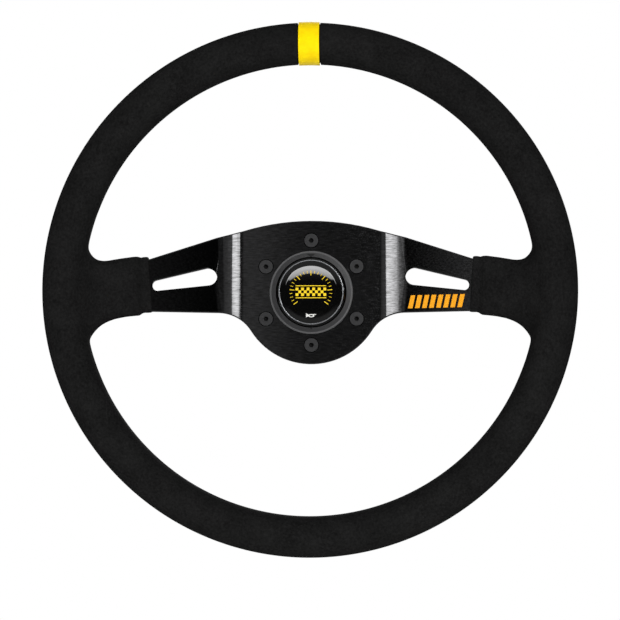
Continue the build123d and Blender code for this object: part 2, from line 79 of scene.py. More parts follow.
def start_finish(name, colour, roughness, metallic=0.0, **sockets):
    """Starts a material: its shader with constant sockets, and the piece's own coordinates."""
    material = bpy.data.materials.new(name)
    material.use_nodes = True
    shader = material.node_tree.nodes["Principled BSDF"]
    shader.inputs["Base Color"].default_value = linear(colour)
    shader.inputs["Roughness"].default_value = roughness
    shader.inputs["Metallic"].default_value = metallic
    for socket, value in sockets.items():
        shader.inputs[socket.replace("_", " ")].default_value = value
    place = add_node(material, "ShaderNodeTexCoord").outputs["Object"]
    return material, shader, place


def grain(name, colours, roughness, metallic, size, stretch, relief, relief_depth, **sockets):
    """A finish whose colour, gloss and relief all follow one noise, stretched along its grain.

    size is the grain's width, and stretch how many times longer it runs on each axis.
    """
    material, shader, place = start_finish(name, colours[0], roughness[0], metallic, **sockets)
    laid = add_node(material, "ShaderNodeMapping", links={"Vector": place},
                    values={"Scale": [1 / s for s in stretch]})
    noise = add_node(material, "ShaderNodeTexNoise", links={"Vector": laid.outputs[0]},
                     values={"Scale": 1000 / size, "Detail": 4.0, "Roughness": 0.6})
    tint = add_node(material, "ShaderNodeMix", data_type="RGBA",
                    links={"Factor": noise.outputs["Fac"]},
                    values={"A": linear(colours[0]), "B": linear(colours[1])})
    gloss = add_node(material, "ShaderNodeMapRange", links={"Value": noise.outputs["Fac"]},
                     values={"From Min": NOISE_LOW, "From Max": NOISE_HIGH,
                             "To Min": roughness[0], "To Max": roughness[1]})
    bump = add_node(material, "ShaderNodeBump", links={"Height": noise.outputs["Fac"]},
                    values={"Strength": relief, "Distance": relief_depth * MM})
    for socket, source in (("Base Color", tint.outputs["Result"]),
                           ("Roughness", gloss.outputs[0]), ("Normal", bump.outputs[0])):
        material.node_tree.links.new(source, shader.inputs[socket])
    return material


def select(*pieces):
    """Selects these pieces and nothing else, and makes the first one active."""
    bpy.ops.object.select_all(action="DESELECT")
    for piece in pieces:
        piece.select_set(True)
    bpy.context.view_layer.objects.active = pieces[0]


def work(piece, label, kind, **settings):
    """Gives the active piece one modifier with its settings, and applies it."""
    modifier = piece.modifiers.new(label, kind)
    for name, value in settings.items():
        setattr(modifier, name, value)
    bpy.ops.object.modifier_apply(modifier=modifier.name)


def shade_faces(piece):
    """Shades round faces smoothly up to a crease, and keeps flat faces flat."""
    bpy.ops.object.shade_smooth_by_angle(angle=CREASE)
    work(piece, "flat faces stay flat", "WEIGHTED_NORMAL", keep_sharp=True)


def dress(node, name, bevel, material, body="wheel", segments=2):
    """Makes a finished copy of a CAD piece, with its sharp edges broken, to stand for it."""
    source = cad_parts[node]
    piece = source.copy()
    piece.data = source.data.copy()
    for key in list(piece.keys()):
        del piece[key]
    piece.parent = None
    piece.name = piece.data.name = name
    bpy.context.scene.collection.objects.link(piece)
    select(piece)
    bpy.ops.object.mode_set(mode="EDIT")
    bpy.ops.mesh.select_all(action="SELECT")
    bpy.ops.mesh.remove_doubles(threshold=0.002 * MM)
    bpy.ops.object.mode_set(mode="OBJECT")
    bpy.ops.mesh.customdata_custom_splitnormals_clear()
    if bevel:
        work(piece, "broken edges", "BEVEL", width=bevel * MM, segments=segments,
             limit_method="ANGLE", angle_limit=SHARP_EDGE, harden_normals=False)
    shade_faces(piece)
    piece.data.materials.clear()
    piece.data.materials.append(material)
    if body:
        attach(piece, body)
    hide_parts(node)
    return piece


coupler_black = grain("phosphated_turned_steel", ("#232427", "#34363a"), (0.34, 0.5), 0.9,
                      0.5, (1, 0.2, 1), 0.15, 0.05)
dress("coupler_body", "coupler_body_turned", 0.25, coupler_black)

# === spline insert, clips and seal ========================================================
# A hardened splined sleeve sits in the bore, kept by an internal snap ring. The sleeve is ground
# and bright; the snap ring, stop clip and washer are oil-blackened spring steel. The nitrile
# seal in front of it is matt black rubber.
ground_steel = grain("ground_hardened_steel", ("#8d9196", "#a9adb2"), (0.22, 0.34), 1.0,
                     0.35, (1, 12, 1), 0.1, 0.02)
dress("spline_insert", "spline_insert_broached", 0.08, ground_steel, segments=1)
spring_black = grain("oil_blackened_spring_steel", ("#3a3c40", "#55585c"), (0.3, 0.42), 1.0,
                     0.6, (1, 1, 1), 0.1, 0.02)
for ring in ("insert_clip", "stop_clip", "stop_washer"):
    dress(ring, ring + "_stamped", 0.12, spring_black, segments=1)
nitrile = grain("moulded_nitrile_rubber", ("#121213", "#1b1b1c"), (0.6, 0.75), 0.0,
                0.4, (1, 1, 1), 0.2, 0.03)
dress("bore_seal", "bore_seal_moulded", 0.0, nitrile)

# === release collar, its spring and the lock balls ========================================
# The sleeve that the driver pulls to free the coupler: turned aluminium, fluted for grip and
# black anodised, on a bright spring, over six polished ball-bearing balls.
collar_black = grain("hard_anodised_turned_aluminium", ("#16171a", "#222428"), (0.3, 0.42), 0.75,
                     0.35, (1, 0.25, 1), 0.12, 0.03)
dress("release_collar", "release_collar_turned", 0.3, collar_black,
      body="collar")
spring_bright = grain("bright_spring_wire", ("#9a9da1", "#b9bcc0"), (0.2, 0.3), 1.0,
                      0.3, (1, 1, 1), 0.08, 0.02)
# each spring is a finished copy fixed where it stands, on no body; its row also lists the body
# that it pushes and the depths of its foot and crown coils, which nothing here uses
for spring, pushed, foot, crown in (("collar_spring", "collar", 44.5, 31.2),
                                    ("horn_spring", "horn_button", 53.6, 66.4)):
    coil = dress(spring, spring + "_coiled", 0.0, spring_bright, body=None)
    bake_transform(coil)
ball_chrome = grain("polished_bearing_steel", ("#b4b7bb", "#c6c9cc"), (0.07, 0.12), 1.0,
                    2.0, (1, 1, 1), 0.02, 0.01)
for number in range(1, 7):
    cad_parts[f"lock_ball_{number}"].material_slots[0].material = ball_chrome

# === spoke plate ==========================================================================
# One 4 mm aluminium sheet, cut out, brushed from side to side, bent up to the rim on each side
# of the hub and black anodised. The brushing smears each reflection into fine level streaks,
# so the two bends show as bright upright bands with ragged edges.
plate_front, plate_thickness, plate_chamfer = 66.0, 4.0, 0.7
plate_middle = plate_front - plate_thickness / 2
bend_start, bend_radius, spoke_rise = 45.0, 57.0, radians(18.76)
bend_end = bend_start + bend_radius * sin(spoke_rise)
spoke_slope = sin(spoke_rise) / cos(spoke_rise)
brush_width, brush_stretch = 0.75, 7  # drawn coarser than real brushing, so that it shows

anodised, shader, place = start_finish("brushed_black_anodised_aluminium", "#414142", 0.2, 1.0)
streaks = add_node(anodised, "ShaderNodeMapping", links={"Vector": place},
                   values={"Scale": (1 / brush_stretch, 1, 1)})
brushing = add_node(anodised, "ShaderNodeTexNoise", links={"Vector": streaks.outputs[0]},
                    values={"Scale": 1000 / brush_width, "Detail": 2.0, "Roughness": 0.6})
spread = add_node(anodised, "ShaderNodeMapRange", links={"Value": brushing.outputs["Fac"]},
                  values={"From Min": NOISE_LOW, "From Max": NOISE_HIGH})
tint = add_node(anodised, "ShaderNodeMix", data_type="RGBA",
                links={"Factor": spread.outputs[0]},
                values={"A": linear("#333333"), "B": linear("#4f4f50")})
gloss = add_node(anodised, "ShaderNodeMapRange", links={"Value": brushing.outputs["Fac"]},
                 values={"From Min": NOISE_LOW, "From Max": NOISE_HIGH,
                         "To Min": 0.035, "To Max": 0.07})
relief = add_node(anodised, "ShaderNodeBump", links={"Height": brushing.outputs["Fac"]},
                  values={"Strength": 0.3, "Distance": 0.06 * MM})
for source, socket in ((tint.outputs["Result"], "Base Color"), (gloss.outputs[0], "Roughness"),
                       (relief.outputs[0], "Normal")):
    anodised.node_tree.links.new(source, shader.inputs[socket])

plate = dress("spoke_plate", "spoke_plate_brushed", 0.0, anodised)
bpy.ops.object.mode_set(mode="EDIT")
cuts = 12
for side in (-1, 1):
    for cut in range(1, cuts):
        x = bend_start + (bend_end - bend_start) * cut / cuts
        bpy.ops.mesh.select_all(action="SELECT")
        bpy.ops.mesh.bisect(plane_co=(side * x * MM, 0, 0), plane_no=(1, 0, 0))
bpy.ops.object.mode_set(mode="OBJECT")


def bent_skin(radius, along):
    """Depth of an arc of the bend, this far outward from where the bend starts."""
    return plate_middle + bend_radius - sqrt(radius**2 - along**2)


# the new cuts are laid on the bend's true arcs: its two faces, and the two lines where the
# chamfers of its edges begin
skin_reach = 0.35
skins = (plate_thickness / 2, plate_thickness / 2 - plate_chamfer,
         plate_chamfer - plate_thickness / 2, -plate_thickness / 2)
for vertex in plate.data.vertices:
    along, depth = abs(vertex.co.x) / MM - bend_start, -vertex.co.y / MM
    if along > 0:
        within = min(along, bend_end - bend_start)
        radius = bend_radius - min(
            skins, key=lambda skin: abs(bent_skin(bend_radius - skin, within) - depth))
        if along < radius * sin(spoke_rise):
            surface = bent_skin(radius, along)
            if abs(surface - depth) < skin_reach:
                vertex.co.y = -surface * MM

# the blank is hand finished: its spokes' upper edges stand up to 1.3 mm proud of the drawing,
# and the slots are filed a little shorter and shallower
edge_lift, filed_from, filed_to, ease_in, ease_out = 1.3, 46, 110, 20, 7
slot_shift, shift_end, shift_ease = 1.8, 76, 10
slot_lift, lift_end, lift_ease = 0.9, 102, 6
edge_margin, slot_margin, slot_from = 2, 1.5, 60  # what counts as the edge and as the slot
inner_x, inner_low, inner_high = 67.0, 3.8, 16.0  # the slot's lower and upper edge at one x
outer_x, outer_low, outer_high = 103.0, 0.3, 7.3
for vertex in plate.data.vertices:
    x, z = abs(vertex.co.x) / MM, vertex.co.z / MM
    if filed_from < x < filed_to:
        share = (x - inner_x) / (outer_x - inner_x)
        low = inner_low + share * (outer_low - inner_low)
        high = inner_high + share * (outer_high - inner_high)
        if z > high + edge_margin:
            ease = min((x - filed_from) / ease_in, 1, (filed_to - x) / ease_out)
            vertex.co.z += edge_lift * ease * MM
        elif x > slot_from and low - slot_margin < z < high + slot_margin:
            outward = slot_shift * min(1, max(0, (shift_end - x) / shift_ease))
            vertex.co.x += (outward if vertex.co.x > 0 else -outward) * MM
            vertex.co.y -= outward * spoke_slope * MM
            if z < (low + high) / 2:
                vertex.co.z += slot_lift * min(1, max(0, (lift_end - x) / lift_ease)) * MM
shade_faces(plate)

# === hub screws ===========================================================================
# Six M5 countersunk screws with 3 mm hexagon sockets, blackened in hot oxide: almost black,
# with a dull satin sheen that is a touch lighter than the plate.
black_oxide = grain("black_oxide_steel", ("#252526", "#303031"), (0.36, 0.5), 0.3,
                    0.5, (1, 1, 1), 0.12, 0.03)
screws = dress("hub_screws", "hub_screws_oxided", 0.42, black_oxide)

# the sockets' insides are painted near black and dead matt: painted shade deep in the hexagon
# hollows
socket_painted_shade = grain("socket_painted_shade_matt", ("#020202", "#060606"), (0.8, 0.9), 0.0,
                     0.4, (1, 1, 1), 0.1, 0.02)
screws.data.materials.append(socket_painted_shade)
screw_circle, socket_reach, socket_floor, lip = 35.0, 2.3, 60, 0.02
head_front = max(-vertex.co.y for vertex in screws.data.vertices) / MM
for face in screws.data.polygons:
    turn = round(atan2(face.center.x, face.center.z) / (pi / 3)) * pi / 3
    reach = hypot(face.center.x / MM - screw_circle * sin(turn),
                  face.center.z / MM - screw_circle * cos(turn))
    if reach < socket_reach and socket_floor < -face.center.y / MM < head_front - lip:
        face.material_index = 1

# === rim core =============================================================================
# The flat aluminium hoop and the rivets that join it to the plate are bare metal inside the
# foam: mill finish sheet with faint rolling lines.
mill_finish = grain("mill_finish_aluminium", ("#8f9193", "#a7a9ab"), (0.35, 0.5), 1.0,
                    0.6, (1, 1, 8), 0.1, 0.03)
for hidden in ("rim_hoop", "rim_rivets"):
    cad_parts[hidden].material_slots[0].material = mill_finish

# === grip =================================================================================
# Moulded foam round the hoop, pulled tight in black suede. The suede is brushed calf split,
# with no shine and a soft nap that mottles where it has been stroked. It wraps each spoke,
# thin at the hem and swelling into the rim.
rim_depth, grip_radius, half_width, half_depth = 102.0, 161.5, 13.5, 16.0
hem_start, marker_half_width, seam_half_width = 105.9, 6.75, 7.05
nap_width, stroke_width = 1.6, 16  # the nap is drawn far coarser than its fibres, to show

suede, shader, place = start_finish("brushed_black_suede", "#191919", 0.95, 0.0,
                                    Sheen_Weight=0.01, Sheen_Roughness=0.5,
                                    Specular_IOR_Level=0.01)
shader.inputs["Sheen Tint"].default_value = linear("#8c8c8c")
nap = add_node(suede, "ShaderNodeTexNoise", links={"Vector": place},
               values={"Scale": 1000 / nap_width, "Detail": 5.0, "Roughness": 0.75})
strokes = add_node(suede, "ShaderNodeTexNoise", links={"Vector": place},
                   values={"Scale": 1000 / stroke_width, "Detail": 3.0, "Roughness": 0.6})
blend = add_node(suede, "ShaderNodeMath", operation="MULTIPLY_ADD",
                 links={0: strokes.outputs["Fac"], 2: nap.outputs["Fac"]}, values={1: 0.35})
spread = add_node(suede, "ShaderNodeMapRange", links={"Value": blend.outputs[0]},
                  values={"From Min": 0.5, "From Max": 0.85})
tint = add_node(suede, "ShaderNodeMix", data_type="RGBA", links={"Factor": spread.outputs[0]},
                values={"A": linear("#101010"), "B": linear("#1f1f1f")})
relief = add_node(suede, "ShaderNodeBump", links={"Height": nap.outputs["Fac"]},
                  values={"Strength": 0.4, "Distance": 0.2 * MM})
suede.node_tree.links.new(tint.outputs["Result"], shader.inputs["Base Color"])
suede.node_tree.links.new(relief.outputs[0], shader.inputs["Normal"])


def spoke_middle(x):
    """Depth of the plate's middle on a rising spoke."""
    bend_height = bend_radius * (1 - cos(spoke_rise))
    return plate_middle + bend_height + (x - bend_end) * spoke_slope


bpy.ops.object.select_all(action="DESELECT")
bpy.ops.mesh.primitive_torus_add(major_segments=320, minor_segments=56,
                                 major_radius=grip_radius * MM, minor_radius=half_width * MM,
                                 rotation=(pi / 2, 0, 0), location=(0, -rim_depth * MM, 0))
grip = bpy.context.object
grip.name = grip.data.name = "suede_grip"
bpy.ops.object.transform_apply(location=True, rotation=True, scale=True)
# the round section is drawn out to an oval that is deeper than wide
oval_ease = 4
for vertex in grip.data.vertices:
    behind = vertex.co.y / MM + rim_depth
    vertex.co.y += (half_depth - half_width) * min(max(behind / oval_ease, -1), 1) * MM

# along each wrap: distance from the axis, how far the suede stands in front of the plate's
# middle and behind it, its lower edge and its upper edge
wrap_sections = (
    (hem_start, 3.4, 3.4, -14.6, 23.1), (109.2, 3.5, 3.5, -14.5, 23.0),
    (112.4, 3.7, 3.7, -14.6, 22.2), (113.4, 5.6, 5.4, -16.2, 23.2),
    (118.0, 6.4, 6.4, -16.7, 22.5), (123.0, 7.2, 7.5, -17.4, 21.7),
    (129.0, 7.4, 8.5, -18.8, 20.6), (134.0, 7.4, 9.2, -20.9, 19.7),
    (139.0, 8.4, 9.7, -24.2, 19.6), (142.5, 10.0, 9.7, -28.4, 21.3),
    (145.5, 12.6, 9.2, -33.5, 25.8), (148.5, 14.0, 8.4, -39.5, 31.0),
    (151.5, 15.6, 7.4, -44.5, 35.0),
)
hem_slant, hem_level, hem_fade = 0.066, 4, 25  # the hem leans outward toward its top
side_fullness, edge_fullness = 0.62, 0.5  # below 1, an oval section fills out to a slab
wrap_sides = 56
wraps = []
for side in (-1, 1):
    bpy.ops.object.select_all(action="DESELECT")
    bpy.ops.mesh.primitive_circle_add(vertices=wrap_sides, radius=0.01, fill_type="NGON",
                                      rotation=(0, side * pi / 2, 0))
    wrap = bpy.context.object
    wraps.append(wrap)
    bpy.ops.object.transform_apply(location=True, rotation=True, scale=True)
    for number, (x, front, back, bottom, top) in enumerate(wrap_sections):
        bpy.ops.object.mode_set(mode="EDIT")
        if number == 0:
            bpy.ops.mesh.select_all(action="SELECT")
        else:
            bpy.ops.mesh.extrude_region_move()
        bpy.ops.object.mode_set(mode="OBJECT")
        ring = [v for v in wrap.data.vertices if v.select]
        for corner, vertex in enumerate(ring):
            turn = 2 * pi * corner / wrap_sides
            across, up = cos(turn), sin(turn)
            across = abs(across) ** side_fullness * (1 if across > 0 else -1)
            up = abs(up) ** edge_fullness * (1 if up > 0 else -1)
            z = (top + bottom) / 2 + up * (top - bottom) / 2
            lean = hem_slant * (z - hem_level) * max(0, 1 - (x - hem_start) / hem_fade)
            y = across * (back if across > 0 else front) - spoke_middle(x + lean)
            vertex.co = Vector((side * (x + lean), y, z)) * MM
    bpy.ops.object.mode_set(mode="EDIT")
    bpy.ops.mesh.select_all(action="SELECT")
    bpy.ops.mesh.normals_make_consistent(inside=False)
    bpy.ops.object.mode_set(mode="OBJECT")

# rim and wraps become one skin, which is pulled smooth, most of all in the corners where the
# spokes run into the rim
select(grip, *wraps)
bpy.ops.object.join()
work(grip, "one skin", "REMESH", mode="VOXEL", voxel_size=1.25 * MM)
corner_inner, corner_outer, corner_height = 130, 156, 55
inner_fade, outer_fade, height_fade = 6, 4, 8
near_wraps = grip.vertex_groups.new(name="near_wraps")
for vertex in grip.data.vertices:
    x, z = abs(vertex.co.x) / MM, abs(vertex.co.z) / MM
    if z < corner_height and corner_inner < x < corner_outer:
        weight = min(1, (x - corner_inner) / inner_fade, (corner_outer - x) / outer_fade,
                     (corner_height - z) / height_fade)
        near_wraps.add([vertex.index], weight, "REPLACE")
work(grip, "suede pulled smooth", "SMOOTH", factor=0.5, iterations=5)
work(grip, "suede stretched into the corners", "SMOOTH", factor=0.5, iterations=30,
     vertex_group="near_wraps")
grip.vertex_groups.clear()

# at the top the suede is sunk between two seams, as a bed for the marker
seam_wall, bed_depth = 0.5, 1.4
bpy.ops.object.mode_set(mode="EDIT")
for x in (-seam_half_width - seam_wall, -seam_half_width,
          seam_half_width, seam_half_width + seam_wall):
    bpy.ops.mesh.select_all(action="SELECT")
    bpy.ops.mesh.bisect(plane_co=(x * MM, 0, 0), plane_no=(1, 0, 0))
bpy.ops.object.mode_set(mode="OBJECT")
for vertex in grip.data.vertices:
    if vertex.co.z > 0 and abs(vertex.co.x) < (seam_half_width + 0.1) * MM:
        spine = Vector((vertex.co.x, 0, vertex.co.z)).normalized() * grip_radius * MM
        spine.y = -rim_depth * MM
        vertex.co += (spine - vertex.co).normalized() * bed_depth * MM
bpy.ops.object.shade_smooth()
grip.data.materials.clear()
grip.data.materials.append(suede)
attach(grip, "wheel")
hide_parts("suede_cover", "rim_foam")

# === stitching ============================================================================
# The suede is closed by hand with waxed thread in a slanted baseball stitch. The seam runs
# round the inside of the rim on the column side, and along the back of each wrap.
thread = grain("waxed_polyester_thread", ("#111112", "#1d1d1e"), (0.45, 0.6), 0.0,
               0.3, (1, 1, 1), 0.3, 0.03)
stitch_length, stitch_width, stitch_pitch, stitch_slant = 4.2, 0.9, 5.2, radians(24)
seam_turn, sunk = radians(45), 0.1
seam_radius = grip_radius - half_width * cos(seam_turn) - sunk
seam_depth = rim_depth - (half_depth - half_width) - half_width * sin(seam_turn) - sunk
step, first = stitch_pitch / seam_radius, radians(15.5)
count = int((pi - 2 * first) / step) + 1


def add_stitch(lay, along_x, along_y, along_z):
    """Adds one stitch, a slim grain of thread with these sizes, where lay puts it."""
    bpy.ops.mesh.primitive_uv_sphere_add(segments=8, ring_count=6, radius=1.0)
    stitch = bpy.context.object
    sizes = Matrix.Diagonal((along_x / 2 * MM, along_y / 2 * MM, along_z / 2 * MM, 1))
    stitch.data.transform(lay @ sizes)
    return stitch


rows = []
for row in (0, 1):
    lay = Matrix.Rotation(-first - row * pi, 4, "Y")
    lay @= Matrix.Translation(Vector((seam_radius, -seam_depth, 0)) * MM)
    lay @= Matrix.Rotation(-seam_turn, 4, "Z") @ Matrix.Rotation(stitch_slant, 4, "X")
    stitch = add_stitch(lay, stitch_width, stitch_length, stitch_width)
    bpy.ops.object.empty_add()
    turner = bpy.context.object
    turner.rotation_euler = (0, -step, 0)
    select(stitch)
    work(stitch, "all round the rim", "ARRAY", count=count, use_relative_offset=False,
         use_object_offset=True, offset_object=turner)
    bpy.data.objects.remove(turner)
    rows.append(stitch)
wrap_stitches, wrap_seam_start, wrap_seam_level = 6, 113.5, 3.5
for side in (-1, 1):
    for number in range(wrap_stitches):
        behind = Vector((side * (wrap_seam_start + number * stitch_pitch), 0, wrap_seam_level))
        lay = Matrix.Translation(grip.ray_cast(behind * MM, Vector((0, -1, 0)))[1])
        lay @= Matrix.Rotation(side * spoke_rise, 4, "Z")
        lay @= Matrix.Rotation(pi / 2 - stitch_slant, 4, "Y")
        rows.append(add_stitch(lay, stitch_length, stitch_width, stitch_width))
select(*rows)
bpy.ops.object.join()
stitches = rows[0]
stitches.name = stitches.data.name = "rim_stitches"
bpy.ops.object.shade_smooth()
stitches.data.materials.clear()
stitches.data.materials.append(thread)
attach(stitches, "wheel")

# === centre marker ========================================================================
# A band of yellow calf leather let into the suede at the top of the rim, glued edge to edge,
# so that a driver sees which way the wheels point. Smooth, close-grained and nearly matt.
marker_leather, shader, place = start_finish("dyed_yellow_calf_leather", "#ffd800", 0.6, 0.0,
                                             Specular_IOR_Level=0.15)
pore_spacing, crease_spacing = 0.9, 5
pores = add_node(marker_leather, "ShaderNodeTexVoronoi", links={"Vector": place},
                 values={"Scale": 1000 / pore_spacing})
creases = add_node(marker_leather, "ShaderNodeTexNoise", links={"Vector": place},
                   values={"Scale": 1000 / crease_spacing, "Detail": 3.0})
spread = add_node(marker_leather, "ShaderNodeMapRange", links={"Value": creases.outputs["Fac"]},
                  values={"From Min": NOISE_LOW, "From Max": NOISE_HIGH})
tint = add_node(marker_leather, "ShaderNodeMix", data_type="RGBA",
                links={"Factor": spread.outputs[0]},
                values={"A": linear("#f2ce00"), "B": linear("#fbdc00")})
relief = add_node(marker_leather, "ShaderNodeBump", links={"Height": pores.outputs["Distance"]},
                  values={"Strength": 0.18, "Distance": 0.08 * MM})
marker_leather.node_tree.links.new(tint.outputs["Result"], shader.inputs["Base Color"])
marker_leather.node_tree.links.new(relief.outputs[0], shader.inputs["Normal"])
marker = dress("centre_marker", "centre_marker_leather", 0.35, marker_leather,
               segments=3)
trimmed = marker_half_width / (max(vertex.co.x for vertex in marker.data.vertices) / MM)
for vertex in marker.data.vertices:
    vertex.co.x *= trimmed

# === horn ring and horn base ==============================================================
# A moulded nylon ring pressed into the plate's centre hole, spark-eroded to a satin grey, with a
# polished bevel whose lighter grey is a painted highlight. Behind it the base, the two blades
# and the contact are the switch.
satin_nylon = grain("spark_textured_nylon", ("#202021", "#29292a"), (0.38, 0.46), 0.0,
                    0.5, (1, 1, 1), 0.12, 0.03)
ring_front, ring_lip, ring_bore, ring_radius = 69.6, 1.5, 23.0, 27.8
ring_slope, mouth_flare, bevel_width = 0.11, 0.6, 1.3
horn_ring = dress("horn_ring", "horn_ring_moulded", 0.12, satin_nylon, segments=3)
# its face falls away outward like a shallow cone, and its mouth is flared
for vertex in horn_ring.data.vertices:
    reach = hypot(vertex.co.x, vertex.co.z) / MM
    if -vertex.co.y > (ring_front - ring_lip) * MM and reach > ring_bore - 0.1:
        if reach < ring_bore + 0.3:
            share = 1 + mouth_flare / reach
            vertex.co.x, vertex.co.z = vertex.co.x * share, vertex.co.z * share
        vertex.co.y += (reach - ring_bore) * ring_slope * MM
# the outer bevel is polished to a little more gloss, and its lighter grey is a painted highlight
bevel_painted_highlight = grain("polished_nylon_painted_highlight", ("#4a4a4b", "#565657"), (0.25, 0.32), 0.0,
                     0.5, (1, 1, 1), 0.05, 0.02)
horn_ring.data.materials.append(bevel_painted_highlight)
for face in horn_ring.data.polygons:
    reach = [hypot(horn_ring.data.vertices[i].co.x, horn_ring.data.vertices[i].co.z) / MM
             for i in face.vertices]
    if min(reach) > ring_radius - bevel_width and face.normal.y < -0.2:
        face.material_index = 1
inner_black = grain("moulded_black_nylon", ("#141415", "#1c1c1d"), (0.45, 0.6), 0.0,
                    0.6, (1, 1, 1), 0.12, 0.03)
dress("horn_base", "horn_base_moulded", 0.15, inner_black)
brass = grain("rolled_brass_strip", ("#b08d4a", "#c7a35c"), (0.26, 0.38), 1.0,
              0.5, (1, 6, 1), 0.08, 0.02)
for contact in ("horn_terminals", "fixed_contact", "contact_disc"):
    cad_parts[contact].material_slots[0].material = brass

# the index dart etched on the ring's face, and the small gate mark opposite it
dart_level, dart_radius, dart_height, dart_spread = 24.9, 1.5, 0.7, 2.2
gate_level, gate_radius, gate_height = 24.2, 0.5, 0.5
bpy.ops.object.select_all(action="DESELECT")
bpy.ops.mesh.primitive_cylinder_add(vertices=3, radius=dart_radius * MM, depth=dart_height * MM,
                                    location=(0, 0, dart_level * MM),
                                    rotation=(-pi / 2, 0, 0))
dart = bpy.context.object
dart.scale.x = dart_spread
bpy.ops.mesh.primitive_cylinder_add(vertices=20, radius=gate_radius * MM,
                                    depth=gate_height * MM, location=(0, 0, -gate_level * MM),
                                    rotation=(pi / 2, 0, 0))
select(dart, bpy.context.object)
bpy.ops.object.join()
bpy.ops.object.transform_apply(location=True, rotation=True, scale=True)
work(dart, "softened", "BEVEL", width=0.25 * MM, segments=2)
for vertex in dart.data.vertices:
    reach = hypot(vertex.co.x, vertex.co.z) / MM
    vertex.co.y -= (ring_front - (reach - ring_bore) * ring_slope) * MM
dart.name = dart.data.name = "horn_ring_index"
dart.data.materials.append(grain("etched_black_nylon", ("#121212", "#181818"), (0.6, 0.7), 0.0,
                                 0.4, (1, 1, 1), 0.1, 0.02, Specular_IOR_Level=0.3))
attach(dart, "wheel")

# === horn button ==========================================================================
# A black moulded cap that slides in the ring. A thin bright trim ring frames a domed badge:
# clear resin poured over a black print, glassy, with a steeper rolled edge all round.
gloss_black = grain("gloss_moulded_abs", ("#060606", "#0a0a0a"), (0.12, 0.18), 0.0,
                    3.0, (1, 1, 1), 0.02, 0.01)
dress("button_cap", "button_cap_moulded", 0.15, gloss_black,
      body="horn_button")
chrome = grain("satin_chrome_plate", ("#a9abae", "#b4b6b9"), (0.26, 0.3), 1.0,
               3.0, (1, 1, 1), 0.0, 0.01)
trim = dress("button_trim", "button_trim_plated", 0.15, chrome,
             body="horn_button", segments=3)


def lathe(name, outline, sides):
    """Turns a solid piece about the steering axis: each (radius, depth) is one more ring."""
    bpy.ops.object.select_all(action="DESELECT")
    radius, depth = outline[0]
    bpy.ops.mesh.primitive_circle_add(vertices=sides, radius=radius * MM, fill_type="NGON",
                                      location=(0, -depth * MM, 0), rotation=(pi / 2, 0, 0))
    piece = bpy.context.object
    piece.name = piece.data.name = name
    bpy.ops.object.transform_apply(location=True, rotation=True, scale=True)
    bpy.ops.object.mode_set(mode="EDIT")
    bpy.ops.mesh.select_all(action="SELECT")
    for next_radius, next_depth in outline[1:]:
        bpy.ops.mesh.extrude_region_move(
            TRANSFORM_OT_translate={"value": (0, (depth - next_depth) * MM, 0)})
        if next_radius:
            share = next_radius / radius
            bpy.ops.transform.resize(value=(share, 1, share))
        else:
            bpy.ops.mesh.merge(type="CENTER")
        radius, depth = next_radius, next_depth
    bpy.ops.mesh.select_all(action="SELECT")
    bpy.ops.mesh.normals_make_consistent(inside=False)
    bpy.ops.object.mode_set(mode="OBJECT")
    bpy.ops.object.shade_smooth_by_angle(angle=radians(40))
    return piece


# the dome's section: its seat and edge, the foot of the crown inside the rolled edge, its top
dome_seat, dome_edge_depth, dome_radius = 69.3, 71.0, 20.9
crown_radius, crown_depth, dome_top = 17.2, 72.45, 74.2
crown_rise = dome_top - crown_depth
sphere_radius = (crown_radius**2 + crown_rise**2) / (2 * crown_rise)
roll_steps, roll_power, crown_steps = 8, 1.35, 12


def dome_depth(x, z=0.0):
    """Depth of the badge's domed surface at a place on it."""
    return dome_top - sphere_radius + sqrt(sphere_radius**2 - x**2 - z**2)


outline = [(dome_radius, dome_seat)]
for step in range(roll_steps + 1):
    inward = step / roll_steps
    rise = 1 - (1 - inward) ** roll_power
    outline.append((dome_radius - (dome_radius - crown_radius) * inward,
                    dome_edge_depth + (crown_depth - dome_edge_depth) * rise))
for step in range(crown_steps - 1, -1, -1):
    radius = crown_radius * step / crown_steps
    outline.append((radius, dome_depth(radius)))
resin = grain("poured_clear_resin", ("#050505", "#060606"), (0.03, 0.05), 0.0,
              6.0, (1, 1, 1), 0.01, 0.01)
dome = lathe("button_dome_poured", outline, 128)
dome.data.materials.append(resin)
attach(dome, "horn_button")
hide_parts("button_dome")

# the printed badge: a chequered ribbon in racing yellow inside a ring of rev-counter ticks
speckle_width = 0.4
badge_yellow, shader, place = start_finish("yellow_screen_print", "#f2d022", 0.3, 0.0)
speckle = add_node(badge_yellow, "ShaderNodeTexNoise", links={"Vector": place},
                   values={"Scale": 1000 / speckle_width, "Detail": 2.0})
tint = add_node(badge_yellow, "ShaderNodeMix", data_type="RGBA",
                links={"Factor": speckle.outputs["Fac"]},
                values={"A": linear("#ecc81c"), "B": linear("#fad72c")})
badge_yellow.node_tree.links.new(tint.outputs["Result"], shader.inputs["Base Color"])

white_print = grain("white_screen_print", ("#d9d9d6", "#e6e6e3"), (0.3, 0.36), 0.0,
                    0.4, (1, 1, 1), 0.02, 0.01)
ink_height, ink_lift = 0.05, 0.02


def lay_print(piece, name, material, surface, body):
    """Thickens a flat print, lays it on a surface (depth at x, z) and fixes it to a body."""
    select(piece)
    bpy.ops.object.transform_apply(location=True, rotation=True, scale=True)
    work(piece, "ink film", "SOLIDIFY", thickness=ink_height * MM, offset=0)
    for vertex in piece.data.vertices:
        vertex.co.y -= (surface(vertex.co.x / MM, vertex.co.z / MM) + ink_lift) * MM
    piece.name = piece.data.name = name
    piece.data.materials.clear()
    piece.data.materials.append(material)
    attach(piece, body)


